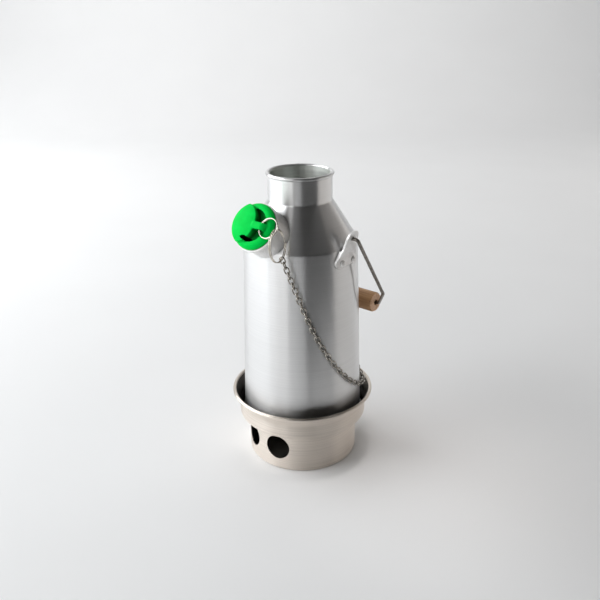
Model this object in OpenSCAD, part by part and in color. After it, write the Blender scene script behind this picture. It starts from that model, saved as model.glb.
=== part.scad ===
// Storm kettle: a chimney kettle with a water jacket, standing on its fire base.
// The origin is the centre of the fire base's underside, +Z is up and the spout points along -Y.

/* [Fire base] */
// Gap between the kettle's foot and the upper wall of the fire base
foot_gap = 3.6; // [2:0.1:8]
// Width of the ledge that the kettle's foot stands on
ledge_w = 9.3; // [7:0.1:14]
// Height of the top of the ledge above the floor
ledge_z = 43; // [36:0.5:60]
// Height of the upper wall, from the ledge to the top of the rim
base_rim_h = 26; // [22:0.5:36]
// How far the rim flares out past the upper wall
rim_flare = 6.7; // [5.5:0.1:9]
// Sheet thickness of the fire base
base_wall = 1; // [0.8:0.1:1.4]
// Radius of the rolled rim of the fire base
base_roll_r = 1.6; // [1.3:0.1:2]
// Corner radius at the foot of the fire base
base_corner_r = 3; // [2:0.1:5]
// Radius of each air hole
air_hole_r = 12.5; // [8:0.1:13]
// Height of the air holes' centres above the floor
air_hole_z = 24.5; // [18:0.1:26]
// Angle between the two air holes
air_hole_pitch = 39; // [36:1:70]
// How far the fire base stands turned under the kettle
base_turn = -7; // [-60:1:60]

/* [Kettle body] */
// Outer radius of the kettle at its foot
foot_r = 58.7; // [56:0.1:64]
// Outer radius of the kettle at its shoulder
shoulder_r = 53.6; // [51:0.1:56]
// Height of the body, from its foot to its shoulder
body_h = 180.8; // [170:1:220]
// Height of the sloping shoulder
shoulder_h = 37.9; // [35:0.1:42]
// Outer radius of the neck
neck_r = 29.75; // [27:0.05:32]
// Height of the neck, from the shoulder to the top of its lip
neck_h = 25.4; // [20:0.1:40]
// Sheet thickness of the kettle's shell
shell_wall = 1.2; // [0.8:0.1:1.6]
// Bend radius at the shoulder
shoulder_bend_r = 5; // [2:0.1:8]
// Bend radius at the foot of the neck
neck_bend_r = 4; // [2:0.1:6]
// Radius of the rolled lip on top of the neck
lip_roll_r = 1.6; // [1.3:0.1:2]

/* [Chimney flue] */
// Sheet thickness of the flue
flue_wall = 1; // [0.8:0.1:1.4]
// Width of the water jacket at the kettle's foot
jacket_gap = 5; // [4:0.1:8]
// Height of the folded seam that holds the shell's foot
seam_h = 4; // [3:0.1:6]

/* [Spout] */
// Height of the spout's root above the shoulder line
spout_root_h = 14.2; // [13:0.1:17]
// Rise of the spout above level, in degrees
spout_tilt = 34; // [30:1:38]
// Length of the spout along its axis, from the shoulder to its lip
spout_len = 16.8; // [14:0.1:22]
// Outer radius of the spout tube
spout_r = 21; // [19:0.1:22]
// Wall thickness of the spout tube
spout_wall = 1.2; // [1:0.1:1.6]
// Radius of the spout's rolled lip
spout_roll_r = 1.6; // [1.3:0.1:2]

/* [Stopper] */
// Outer radius of the stopper's head
head_r = 21.3; // [20:0.1:23]
// Height of the head's rim above the spout's lip
head_h = 6; // [5:0.1:8]
// Width of the head's rim, outside its pocket
head_rim_w = 6.3; // [5.5:0.1:7]
// Depth of the pocket beside the thumb block
pocket_depth = 4.2; // [3:0.1:4.5]
// Height of the thumb block above the head's rim
block_rise = 5; // [4.5:0.1:6]
// Distance from the stopper's axis to the whistle's outlet
outlet_drop = 12.6; // [12:0.1:13]
// Distance from the stopper's axis to the thumb block's edge on the pocket
block_edge = 6; // [5.6:0.1:6.6]
// Width of the arm that the ring goes through
arm_w = 6.4; // [5:0.1:8]
// Length of the plug inside the spout
plug_len = 13; // [10:0.1:14]
// Radius of the bore that holds the whistle
whistle_r = 8; // [6:0.1:9]
// Thickness of each whistle plate
plate_t = 0.6; // [0.4:0.1:1]
// Distance between the two whistle plates
plate_gap = 3; // [2:0.1:4]
// Radius of the sound hole in each whistle plate
sound_hole_r = 1.5; // [1:0.1:2]

/* [Handle] */
// Height of the handle's pivots above the shoulder line
pivot_h = 10.7; // [9:0.1:16]
// Distance of the pivot holes from the kettle's axis
pivot_x = 59.4; // [58.8:0.1:61]
// Sheet thickness of the handle brackets
bracket_t = 2; // [1.6:0.1:2.4]
// Radius of the ear on each bracket
ear_r = 7.8; // [6.5:0.1:9]
// Diameter of the handle wire
wire_d = 3.2; // [2.8:0.1:3.6]
// Length of the handle, from its pivots to the axis of its grip
bail_len = 109.5; // [104:0.5:125]
// Length of the straight arms, up to where they turn in to the grip
arm_len = 87; // [80:0.5:92]
// Half width of the handle where its arms turn in
corner_x = 59.4; // [58.5:0.1:61]
// Bend radius of the handle wire beside the grip
bend_r = 5; // [4:0.1:7]
// Bend radius of the handle wire at the ears
hook_bend_r = 2.8; // [2.4:0.1:3.6]
// Length of the wooden grip
grip_len = 84; // [70:0.5:90]
// Radius of the wooden grip
grip_r = 10; // [9:0.1:12]
// Chamfer on the ends of the grip
grip_chamfer = 2; // [1:0.1:3]
// Height of the bracket rivets below the shoulder line
bracket_rivet_drop = 11.5; // [10:0.1:14]
// Half the distance between a bracket's two rivets
rivet_half_pitch = 7.5; // [6.5:0.1:8.5]
// Radius of a rivet's head
rivet_head_r = 3; // [2.4:0.1:3.4]
// Radius of a rivet's shank
rivet_r = 1.5; // [1.2:0.1:1.8]

/* [Chain] */
// Diameter of the chain's wire
chain_wire_d = 1.2; // [1:0.05:1.25]
// Distance from link to link, before it is trimmed to a whole and even number of links
chain_pitch = 5.3; // [5:0.05:5.6]
// Outer width of a link
link_w = 5.4; // [5.3:0.05:5.7]
// Height of the lowest link's centre above the rim of the base
chain_low_h = 6; // [4:0.5:12]
// How far the hanging chain sags: the scale of its curve
chain_sag = 53; // [48:0.5:58]
// How far the top of the chain hangs out from the body
chain_out = 9; // [6:0.1:11]
// Diameter of the two split rings' wire
ring_wire_d = 0.9; // [0.8:0.05:1]
// Mean radius of the ring in the stopper's arm
stopper_ring_r = 9; // [8.5:0.1:9.5]
// Thickness of the chain's lug
lug_t = 1.6; // [1.2:0.1:2]

/* [Clearances] */
// Gap where two pieces of one assembly are seated
seat_gap = 0.05; // [0.02:0.01:0.1]
// Gap where the kettle stands in its base, and where the grip lies on the body
rest_gap = 0.15; // [0.1:0.05:0.3]
// Gap between the stopper's plug and the spout
plug_gap = 0.25; // [0.15:0.05:0.4]
// Gap round the handle wire in its holes
pivot_gap = 0.25; // [0.15:0.05:0.4]
// Gap between links that hang in each other
link_gap = 0.25; // [0.15:0.05:0.4]

/* [Hidden] */
$fn = 96;

aluminium = "#b9bcbd";
steel = "#a8a19b";
wire_steel = "#8f8a83";
wood = "#b98d5f";
green = "#0cc24e";
cut = 400;

// Heights of the kettle
kettle_z = ledge_z + rest_gap;
shoulder_z = kettle_z + body_h;
neck_z = shoulder_z + shoulder_h;
top_z = neck_z + neck_h;
pivot_z = shoulder_z + pivot_h;
rivet_z = shoulder_z - bracket_rivet_drop;

// Vectors
function unit(v) = v / norm(v);
function left_of(v) = [-v[1], v[0]];
function turned(v, a) = [v[0] * cos(a) - v[1] * sin(a), v[0] * sin(a) + v[1] * cos(a)];
function turn_sign(p, q, r) = sign(cross(q - p, r - q));

// A path of straight lines with its corners rounded
corner_steps = 8;
function corner(p, q, r, radius) =
  let (d1 = unit(q - p), d2 = unit(r - q), side = turn_sign(p, q, r), a = acos(d1 * d2))
  let (start = q - d1 * radius * tan(a / 2), centre = start + left_of(d1) * side * radius)
  [for (k = [0:corner_steps]) centre + turned(start - centre, side * a * k / corner_steps)];
function rounded(path, radii) = [
  for (i = [0:len(path) - 1])
    each (radii[i] > 0 ? corner(path[i - 1], path[i], path[i + 1], radii[i]) : [path[i]])
];

// The same path moved to its left, for the other face of a sheet
function moved(path, t) = let (last = len(path) - 1) [
  for (i = [0:last])
    let (n1 = left_of(unit(i > 0 ? path[i] - path[i - 1] : path[1] - path[0])))
    let (n2 = left_of(unit(i < last ? path[i + 1] - path[i] : path[last] - path[last - 1])))
    path[i] + t * (n1 + n2) / (1 + n1 * n2)
];
function moved_radii(path, radii, t) = [
  for (i = [0:len(path) - 1])
    radii[i] > 0 ? radii[i] - t * turn_sign(path[i - 1], path[i], path[i + 1]) : 0
];
function reversed(list) = [for (i = [len(list) - 1:-1:0]) list[i]];
function sheet(path, radii, t) =
  concat(rounded(path, radii), reversed(rounded(moved(path, t), moved_radii(path, radii, t))));

// Fire base: one spun sheet, from the middle of its floor up to its rolled rim
base_up_r = foot_r + foot_gap + base_wall;
base_r = base_up_r - ledge_w;
base_rim_r = base_up_r + rim_flare;
base_top = ledge_z + base_rim_h;
ledge_bend_r = 1.5;
ledge_corner_r = 3;
flare_bend_r = 8;
flare_h = 11.5;
roll_centre = [base_rim_r - base_roll_r, base_top - base_roll_r];
base_path = [
  [0, 0],
  [base_r, 0],
  [base_r, ledge_z - base_wall],
  [base_up_r, ledge_z - base_wall],
  [base_up_r, base_top - flare_h],
  roll_centre
];
base_radii = [0, base_corner_r, ledge_bend_r, ledge_corner_r, flare_bend_r, 0];

module fire_base() color(steel) difference() {
  rotate_extrude() {
    polygon(sheet(base_path, base_radii, base_wall));
    translate(roll_centre) circle(base_roll_r, $fn = 24);
  }
  for (side = [-1, 1])
    rotate([90, 0, base_turn + side * air_hole_pitch / 2])
      translate([0, air_hole_z, base_r / 2]) cylinder(r = air_hole_r, h = base_r);
}

// Kettle shell: one spun sheet, from its foot up to the edge of the neck
seam_t = 1.2;
shell_path = [
  [foot_r, kettle_z + seam_t],
  [shoulder_r, shoulder_z],
  [neck_r, neck_z],
  [neck_r, top_z - 2 * lip_roll_r - seat_gap]
];
shell_radii = [0, shoulder_bend_r, neck_bend_r, 0];
function shell_r(z) = foot_r + (shoulder_r - foot_r) * (z - kettle_z - seam_t) / (body_h - seam_t);
function cone_r(z) = shoulder_r + (neck_r - shoulder_r) * (z - shoulder_z) / shoulder_h;

// The kettle's outside as a solid, grown by a gap, to seat other pieces on
module kettle_form(grow) {
  line = rounded(shell_path, shell_radii);
  outside = [for (p = line) [p[0] + grow, p[1]]];
  rotate_extrude() polygon(concat([[0, line[0][1]]], outside, [[0, top_z]]));
}

module kettle_shell() color(aluminium) difference() {
  rotate_extrude() polygon(sheet(shell_path, shell_radii, shell_wall));
  on_spout() translate([0, 0, -spout_len - spout_r]) cylinder(r = spout_r - spout_wall, h = spout_len + spout_r);
  bracket_rivet_holes();
  mirror([1, 0, 0]) bracket_rivet_holes();
  lug_rivet_holes();
}

// Flue: the chimney, folded round the shell's foot and rolled over the shell's neck
flue_foot_r = foot_r - shell_wall - jacket_gap;
flue_neck_r = neck_r - shell_wall - seat_gap;
flue_cone_drop = 4;
lip_centre_r = neck_r + seat_gap;
module flue() color(aluminium) rotate_extrude() {
  polygon(sheet([
    [flue_foot_r, kettle_z],
    [flue_neck_r, neck_z - flue_cone_drop],
    [flue_neck_r, top_z - lip_roll_r]
  ], [0, neck_bend_r, 0], flue_wall));
  translate([flue_foot_r - flue_wall, kettle_z])
    square([foot_r + seat_gap + seam_t - flue_foot_r + flue_wall, seam_t]);
  translate([foot_r + seat_gap, kettle_z]) square([seam_t, seam_h]);
  translate([lip_centre_r, top_z - lip_roll_r]) circle(lip_roll_r, $fn = 24);
}

// Spout: a tube square to the shoulder, with a rolled lip. Its own frame has Z along the tube.
spout_root_z = shoulder_z + spout_root_h;
spout_lip = [
  0,
  -cone_r(spout_root_z) - spout_len * cos(spout_tilt),
  spout_root_z + spout_len * sin(spout_tilt)
];
module on_spout() translate(spout_lip) rotate([90 - spout_tilt, 0, 0]) children();
function from_spout(p) = spout_lip
  + p[0] * [1, 0, 0]
  + p[1] * [0, sin(spout_tilt), cos(spout_tilt)]
  + p[2] * [0, -cos(spout_tilt), sin(spout_tilt)];

spout_bore_r = spout_r - spout_wall;
module spout() color(aluminium) difference() {
  on_spout() difference() {
    union() {
      translate([0, 0, -spout_len - spout_r]) cylinder(r = spout_r, h = spout_len + spout_r);
      rotate_extrude() translate([spout_r, 0]) circle(spout_roll_r, $fn = 24);
    }
    translate([0, 0, -cut / 2]) cylinder(r = spout_bore_r, h = cut);
  }
  kettle_form(0);
}

// Stopper: a moulded plug and head with a thumb block, a pocket and an arm for the ring
plug_r = spout_bore_r - plug_gap;
seat_z = spout_roll_r + rest_gap;
rim_top = seat_z + head_h;
floor_z = rim_top - pocket_depth;
block_top = rim_top + block_rise;
pocket_r = head_r - head_rim_w;
head_edge_r = 0.8 * head_h;
head_foot_r = 0.1 * head_h;
plug_rib_h = 2;
plug_rib_in = 0.7;
plug_lead = 1.5;
ring_hole_r = 2.1;
ring_x = pocket_r - 2.6;
ring_z = rim_top + 1.8;
chamber_r = 5;
chamber_roof = 1.8;
sleeve_t = 0.8;

module stopper_body() rotate_extrude() difference() {
  polygon(rounded([
    [0, -plug_len],
    [plug_r - plug_lead, -plug_len],
    [plug_r, -plug_len + plug_lead],
    [plug_r, seat_z],
    [head_r, seat_z],
    [head_r, rim_top],
    [0, rim_top]
  ], [0, 0, 0, 0, head_foot_r, head_edge_r, 0]));
  for (k = [1:2])
    translate([plug_r - plug_rib_in, -k * 2 * plug_rib_h]) square([plug_rib_in * 2, plug_rib_h]);
}

// The thumb block is crowned and covers the head, all but a crescent on one side
block_arc_r = 18;
block_in = 1.2;
block_crown_r = 2.4 * head_r;
block_crown_x = -0.16 * head_r;
module thumb_block() intersection() {
  translate([0, 0, floor_z - 1]) linear_extrude(cut) intersection() {
    translate([block_edge - block_arc_r, 0]) circle(block_arc_r);
    circle(head_r - block_in);
  }
  translate([block_crown_x, 0, block_top - block_crown_r]) sphere(block_crown_r);
}

// The ring's arm crosses the crescent, from the block to the head's rim
arm_end_r = 4.5;
arm_crown_r = 8;
arm_top = ring_z + ring_hole_r + 1.25;
module ring_arm() intersection() {
  union() {
    translate([block_edge - 2, -arm_w / 2, floor_z - 1]) cube([ring_x - block_edge + 2, arm_w, cut]);
    translate([ring_x, arm_w / 2, arm_top - arm_end_r]) rotate([90, 0, 0]) cylinder(r = arm_end_r, h = arm_w);
  }
  translate([0, 0, arm_top - arm_crown_r]) along_x() cylinder(r = arm_crown_r, h = cut);
}

// The whistle's outlet: an eye-shaped slot at the lower end of the thumb block
outlet_w = 8.4;
outlet_h = 3.4;
outlet_x = -0.9;
outlet_y = -outlet_drop;
outlet_depth = 1.5;
duct_up = 0.5;
duct_w = 5;
outlet_arc_r = (pow(outlet_w, 2) + pow(outlet_h, 2)) / (4 * outlet_h);
module outlet() translate([outlet_x, outlet_y, floor_z - outlet_depth]) linear_extrude(cut) intersection_for (side = [-1, 1])
  translate([0, side * (outlet_arc_r - outlet_h / 2)]) circle(outlet_arc_r);

module stopper() color(green) on_spout() difference() {
  union() {
    difference() {
      stopper_body();
      translate([0, 0, floor_z]) cylinder(r = pocket_r, h = cut);
    }
    thumb_block();
    ring_arm();
  }
  translate([0, 0, -plug_len - 1]) cylinder(r = whistle_r, h = plug_len + 1);
  translate([0, 0, -1]) cylinder(r = chamber_r, h = block_top - chamber_roof + 1);
  translate([-duct_w / 2, outlet_y, floor_z + duct_up]) cube([duct_w, -outlet_y, outlet_h / 2]);
  outlet();
  translate([ring_x, arm_w, ring_z]) rotate([90, 0, 0]) cylinder(r = ring_hole_r, h = 2 * arm_w);
}

// Whistle: two plates with a sound hole each, held in a sleeve inside the plug
sleeve_r = whistle_r - seat_gap;
sleeve_len = plug_len - 2;
plate_r = sleeve_r - sleeve_t - seat_gap;
sleeve_z = -sleeve_len;
plate_z = sleeve_z + sleeve_len / 2;
shoulder_in = 1;
module whistle_sleeve() color(aluminium) on_spout() difference() {
  translate([0, 0, sleeve_z]) cylinder(r = sleeve_r, h = sleeve_len - seat_gap);
  translate([0, 0, plate_z]) cylinder(r = sleeve_r - sleeve_t, h = cut);
  translate([0, 0, sleeve_z - 1]) cylinder(r = sleeve_r - sleeve_t - shoulder_in, h = cut);
}
module whistle_plate(z) color(steel) on_spout() translate([0, 0, z]) difference() {
  cylinder(r = plate_r, h = plate_t);
  translate([0, 0, -plate_t]) cylinder(r = sound_hole_r, h = 3 * plate_t);
}
// The outer plate has a turned-down edge that stands on the inner one
module inner_whistle_plate() whistle_plate(plate_z);
module outer_whistle_plate() {
  whistle_plate(plate_z + plate_t + plate_gap);
  color(steel) on_spout() translate([0, 0, plate_z + plate_t]) difference() {
    cylinder(r = plate_r, h = plate_gap + plate_t / 2);
    translate([0, 0, -1]) cylinder(r = plate_r - plate_t, h = cut);
  }
}

// Brackets: a foot that follows the body, and an ear that leans out to the pivot
foot_lobe_r = 5;
foot_lobe_y = 10.3;
foot_lobe_up = 0.9;
waist_y = 8.6;
waist_h = 9;
notch_h = 1.2;
ear_lean = atan((pivot_x - shell_r(shoulder_z) - bracket_t / 2) / (pivot_h + bracket_t * 2));
module bracket_outline() {
  lobe_z = rivet_z + foot_lobe_up;
  translate([0, pivot_z]) circle(ear_r);
  for (side = [-1, 1])
    translate([side * foot_lobe_y, lobe_z]) circle(foot_lobe_r);
  polygon([
    [-foot_lobe_y, lobe_z - foot_lobe_r + notch_h],
    [foot_lobe_y, lobe_z - foot_lobe_r + notch_h],
    [foot_lobe_y + foot_lobe_r * cos(45), lobe_z + foot_lobe_r * sin(45)],
    [waist_y, pivot_z - waist_h],
    [ear_r - 0.1, pivot_z],
    [-ear_r + 0.1, pivot_z],
    [-waist_y, pivot_z - waist_h],
    [-foot_lobe_y - foot_lobe_r * cos(45), lobe_z + foot_lobe_r * sin(45)]
  ]);
}
module along_x() rotate([90, 0, 90]) children();
module bracket() difference() {
  intersection() {
    along_x() linear_extrude(cut) bracket_outline();
    union() {
      intersection() {
        kettle_form(seat_gap + bracket_t);
        translate([0, -cut / 2, 0]) cube([cut, cut, shoulder_z]);
      }
      translate([pivot_x, 0, pivot_z]) rotate([0, ear_lean, 0])
        translate([-bracket_t / 2, -cut / 2, -cut / 2]) cube([bracket_t, cut, cut]);
    }
  }
  kettle_form(seat_gap);
  bracket_rivet_holes();
  translate([0, 0, pivot_z]) along_x() cylinder(r = wire_d / 2 + pivot_gap, h = cut);
}
module right_bracket() color(aluminium) bracket();
module left_bracket() color(aluminium) mirror([1, 0, 0]) bracket();

// Rivets: a domed head outside, a shank through the sheet and a flat head inside
rivet_az = asin(rivet_half_pitch / shell_r(rivet_z));
rivet_inner_t = 1;
rivet_dome_h = 1.5;
rivet_dome_r = (pow(rivet_head_r, 2) + pow(rivet_dome_h, 2)) / (2 * rivet_dome_h);
function sagitta(r, half) = r - sqrt(r * r - half * half);
module at_bracket_rivets() for (side = [-1, 1])
  rotate([0, 0, side * rivet_az]) translate([0, 0, rivet_z]) along_x() children();
module bracket_rivet_holes() at_bracket_rivets() cylinder(r = rivet_r + seat_gap, h = cut);
// A rivet along Z, with the sheet it holds lying between inside and outside
module rivet(inside, outside) {
  translate([0, 0, inside - rivet_inner_t]) cylinder(r = rivet_head_r, h = rivet_inner_t);
  translate([0, 0, inside - rivet_inner_t]) cylinder(r = rivet_r, h = outside - inside + rivet_inner_t + 0.5);
  intersection() {
    translate([0, 0, outside + rivet_dome_h - rivet_dome_r]) sphere(rivet_dome_r);
    translate([0, 0, outside]) cylinder(r = rivet_head_r + 1, h = rivet_dome_h + 1);
  }
}
taper = (foot_r - shoulder_r) / body_h;
taper_gap = taper * rivet_head_r + seat_gap;
module bracket_rivets() at_bracket_rivets()
  rivet(shell_r(rivet_z) - shell_wall - sagitta(foot_r, rivet_head_r) - taper_gap,
    shell_r(rivet_z) + seat_gap + bracket_t + taper_gap);
module right_bracket_rivets() color(aluminium) bracket_rivets();
module left_bracket_rivets() color(aluminium) mirror([1, 0, 0]) bracket_rivets();

// A frame with its origin at p and the given axes
module frame_at(p, x, y, z) multmatrix([
  [x[0], y[0], z[0], p[0]],
  [x[1], y[1], z[1], p[1]],
  [x[2], y[2], z[2], p[2]],
  [0, 0, 0, 1]
]) children();

// Bent wire in one plane: runs along Z, with a bend towards X after each run but the last.
// The runs reach a little into the bends, which are swollen a little, as bent wire is.
bend_lap = 0.3;
bend_swell = 0.03;
module bent_wire(runs, turns, bends, radius, i = 0) {
  if (i > 0) translate([0, 0, -bend_lap]) cylinder(r = radius, h = runs[i] + 2 * bend_lap, $fn = 48);
  if (i < len(turns)) translate([0, 0, runs[i]]) {
    translate([bends[i], 0, 0]) rotate([90, 0, 180]) rotate_extrude(angle = turns[i], $fn = 64)
      translate([bends[i], 0]) circle(radius + bend_swell, $fn = 48);
    translate([bends[i], 0, 0]) rotate([0, turns[i], 0]) translate([-bends[i], 0, 0])
      bent_wire(runs, turns, bends, radius, i + 1);
  }
}

// Handle: a bent wire through both ears, at rest with its grip lying on the back of the body
function rest_reach(z) = shell_r(z) + grip_r + rest_gap * 2;
function rest_drop(y) = sqrt(bail_len * bail_len - y * y);
grip_y = rest_reach(pivot_z - rest_drop(rest_reach(pivot_z - rest_drop(shoulder_r + grip_r))));
bail_angle = asin(grip_y / bail_len);
ear_out = bracket_t / 2 / cos(ear_lean);
ear_reach = ear_out + (wire_d / 2 + pivot_gap) * tan(ear_lean);
// The arms stand far enough out for the hooks, and to pass the tops of the ears as they swing over
hook_x = pivot_x + ear_reach + hook_bend_r + 2 * pivot_gap;
pass_x = pivot_x + ear_out + ear_r * tan(ear_lean) + wire_d / 2 + 2 * pivot_gap;
ear_share = ear_r / arm_len;
bail_x = max(hook_x, (pass_x - corner_x * ear_share) / (1 - ear_share));
hook_in = 3;
grip_gap = 0.4;
turn_in_x = grip_len / 2 + 3.5;
module on_bail() translate([0, 0, pivot_z]) rotate([bail_angle, 0, 0]) children();
// The right half of the wire, from the middle of the grip out to the hooked end in the ear
bail_half = [
  [0, -bail_len],
  [turn_in_x, -bail_len],
  [corner_x, -arm_len],
  [bail_x, 0],
  [pivot_x - ear_reach - hook_in, 0]
];
bail_last = len(bail_half) - 1;
bail_dirs = [for (i = [1:bail_last]) unit(bail_half[i] - bail_half[i - 1])];
bail_turns = [for (i = [1:bail_last - 1]) acos(bail_dirs[i - 1] * bail_dirs[i])];
bail_bends = [bend_r, bend_r, hook_bend_r];
bail_trims = concat([0], [for (i = [0:bail_last - 2]) bail_bends[i] * tan(bail_turns[i] / 2)], [0]);
bail_runs = [
  for (i = [1:bail_last]) norm(bail_half[i] - bail_half[i - 1]) - bail_trims[i - 1] - bail_trims[i]
];
module handle_wire() color(wire_steel) on_bail() translate([0, 0, -bail_len]) {
  translate([-bail_runs[0] - bend_lap, 0, 0]) along_x()
    cylinder(r = wire_d / 2, h = 2 * (bail_runs[0] + bend_lap), $fn = 48);
  for (side = [0, 1]) mirror([side, 0, 0]) rotate([180, -90, 0])
    bent_wire(bail_runs, bail_turns, bail_bends, wire_d / 2);
}

module grip() color(wood) on_bail() translate([0, 0, -bail_len]) rotate([0, 90, 0]) rotate_extrude()
  polygon([
    [wire_d / 2 + grip_gap, -grip_len / 2],
    [grip_r - grip_chamfer, -grip_len / 2],
    [grip_r, -grip_len / 2 + grip_chamfer],
    [grip_r, grip_len / 2 - grip_chamfer],
    [grip_r - grip_chamfer, grip_len / 2],
    [wire_d / 2 + grip_gap, grip_len / 2]
  ]);

// The place on the stopper's ring that the chain hangs from
ring_bow = 0.3;
ring_centre_x = ring_x - ring_bow + stopper_ring_r;
ring_centre = from_spout([ring_centre_x, 0, ring_z]);
hang_angle = -25;
hang = from_spout([
  ring_centre_x + stopper_ring_r * cos(hang_angle),
  stopper_ring_r * sin(hang_angle),
  ring_z
]);

// Chain: a hanging curve wound round the body, from straight below that place to the back
lug_az = 180;
function arc_sinh(x) = ln(x + sqrt(x * x + 1));
function hyper_sin(x) = (exp(x) - exp(-x)) / 2;
chain_wrap_r = foot_r - shell_wall;
chain_stand_off = link_w / 2 + 0.25;
function chain_az(s) = chain_low_az + chain_sag * arc_sinh(s / chain_sag) / chain_wrap_r * 180 / PI;
function chain_z(s) = chain_low_z + chain_sag * (sqrt(1 + pow(s / chain_sag, 2)) - 1);
function chain_r(z) = shell_r(z) + chain_stand_off
  + chain_out * pow(max(0, z - chain_free_z) / (shoulder_z - chain_free_z), 2);
function round_body(r, az, z) = [r * sin(az), -r * cos(az), z];
function chain_at(s) = round_body(chain_r(chain_z(s)), chain_az(s), chain_z(s));
function chain_dir(s) = unit(chain_at(s + 0.5) - chain_at(s - 0.5));
chain_free_z = kettle_z + body_h * 0.6;
chain_low_z = ledge_z + base_rim_h + chain_low_h;
chain_top_s = -chain_sag * sqrt(pow(1 + (shoulder_z - chain_low_z) / chain_sag, 2) - 1);
chain_top_az = asin(hang[0] / chain_r(shoulder_z));
chain_low_az = chain_top_az - chain_sag * arc_sinh(chain_top_s / chain_sag) / chain_wrap_r * 180 / PI;
chain_end = chain_sag * hyper_sin((lug_az - chain_low_az) * PI / 180 * chain_wrap_r / chain_sag);

// Places of the links along the curve, counted back from the lug up to the shoulder's height
function chain_length(s, step, left) = left == 0 ? 0
  : norm(chain_at(s + step) - chain_at(s)) + chain_length(s + step, step, left - 1);
function chain_speed(s) = norm(chain_at(s + 0.5) - chain_at(s - 0.5));
function back_along(s, step) = s - step / chain_speed(s - step / 2);
function link_places(s, left) = left == 0 ? [] : concat(link_places(back_along(s, link_pitch), left - 1), [s]);
lug_link_reach = 5.4;
chain_last_s = back_along(chain_end, lug_link_reach);
chain_len = chain_length(chain_top_s, (chain_last_s - chain_top_s) / 100, 100);
chain_links = 2 * round((chain_len / chain_pitch + 1) / 2);
link_pitch = chain_len / (chain_links - 1);
link_s = link_places(chain_last_s, chain_links);

// One link, in the XY plane with its length along X
link_half = (link_pitch + chain_wire_d + link_gap) / 2;
link_bow_r = (link_w - chain_wire_d) / 2;
link_straight = link_half - link_bow_r;
module link() {
  for (side = [0, 180]) rotate([0, 0, side]) {
    translate([link_straight, 0, 0]) rotate([0, 0, -90])
      rotate_extrude(angle = 180, $fn = 48) translate([link_bow_r, 0]) circle(chain_wire_d / 2, $fn = 24);
    translate([-link_straight, link_bow_r, 0]) along_x()
      cylinder(r = chain_wire_d / 2, h = 2 * link_straight, $fn = 24);
  }
}
module chain() color(wire_steel) for (i = [0:chain_links - 1]) {
  s = link_s[i];
  d = chain_dir(s);
  outward = round_body(1, chain_az(s), 0);
  side = unit(cross(d, outward));
  up = cross(side, d);
  even = (chain_links - 1 - i) % 2 == 0;
  frame_at(chain_at(s), d, even ? up : side, cross(d, even ? up : side)) link();
}

// Lug at the back of the kettle, with the ring that the chain ends on
lug_foot_w = 11;
lug_foot_h = 16;
lug_out = 5.4;
lug_eye_r = 1.5;
lug_ring_r = 3.6;
lug_rivet_gap = 5;
chain_end_r = chain_r(chain_z(chain_end));
lug_eye = round_body(chain_end_r, lug_az, chain_z(chain_end) + lug_ring_r);
lug_foot_z = lug_eye[2] + 6;
module lug_outline() translate([lug_eye[1], lug_eye[2]]) {
  circle(lug_eye_r + 2.2, $fn = 48);
  polygon([[-lug_out, 8], [-lug_out, -2], [0, -lug_eye_r - 2.2], [2.2, 2.9]]);
}
module chain_lug() color(aluminium) difference() {
  union() {
    translate([-lug_t / 2, 0, 0]) along_x() linear_extrude(lug_t) lug_outline();
    intersection() {
      kettle_form(seat_gap + lug_t);
      translate([-lug_foot_w / 2, 0, lug_foot_z - lug_foot_h / 2]) cube([lug_foot_w, cut, lug_foot_h]);
    }
  }
  kettle_form(seat_gap);
  translate([-cut / 2, lug_eye[1], lug_eye[2]]) along_x() cylinder(r = lug_eye_r, h = cut);
  lug_rivet_holes();
}
module at_lug_rivets() for (side = [-1, 1])
  translate([side * lug_rivet_gap * 0.66, 0, lug_foot_z + lug_rivet_gap]) rotate([-90, 0, 0]) children();
module lug_rivet_holes() at_lug_rivets() cylinder(r = rivet_r + seat_gap, h = cut);
module lug_rivets() color(aluminium) at_lug_rivets()
  rivet(shell_r(lug_foot_z) - shell_wall - 1, shell_r(lug_foot_z) + lug_t);
module lug_ring() color(wire_steel) translate(lug_eye - [0, 0, lug_ring_r]) rotate([90, 0, 0])
  rotate_extrude() translate([lug_ring_r, 0]) circle(chain_wire_d / 2, $fn = 24);

// Split rings: two turns of wire, the one in the stopper's arm and the one that the chain hangs from
ring_steps = 28;
ring_sides = 8;
ring_turn_gap = 0.42;
ring_lead = ring_wire_d + ring_turn_gap;
function split_ring_line(r) = [
  for (k = [0:2 * ring_steps - 2])
    let (a = 360 * k / ring_steps)
    [r * cos(a), r * sin(a), ring_lead * (a / 360 - 0.98)]
];
// Least gap between the two turns, measured from point to point
function least_gap(line) = min([
  for (i = [0:len(line) - 1], j = [i + ring_steps / 2:len(line) - 1]) norm(line[j] - line[i])
]) - ring_wire_d;
echo("least gap of the split rings to themselves", least_gap(split_ring_line(stopper_ring_r)));
module tube(line, radius, sides) {
  last = len(line) - 1;
  points = [for (i = [0:last])
    let (d = unit(line[min(i + 1, last)] - line[max(i - 1, 0)]))
    let (out = unit([line[i][0], line[i][1], 0]), up = cross(d, out))
    for (k = [0:sides - 1]) line[i] + radius * (cos(360 * k / sides) * out + sin(360 * k / sides) * up)];
  faces = concat(
    [[for (k = [0:sides - 1]) k]],
    [[for (k = [sides - 1:-1:0]) last * sides + k]],
    [for (i = [0:last - 1], k = [0:sides - 1])
      let (a = i * sides + k, b = i * sides + (k + 1) % sides) each [[a, a + sides, b], [b, a + sides, b + sides]]]
  );
  polyhedron(points, faces);
}
module stopper_ring() color(wire_steel) translate(ring_centre) rotate([90 - spout_tilt, 0, 0])
  tube(split_ring_line(stopper_ring_r), ring_wire_d / 2, ring_sides);

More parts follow.
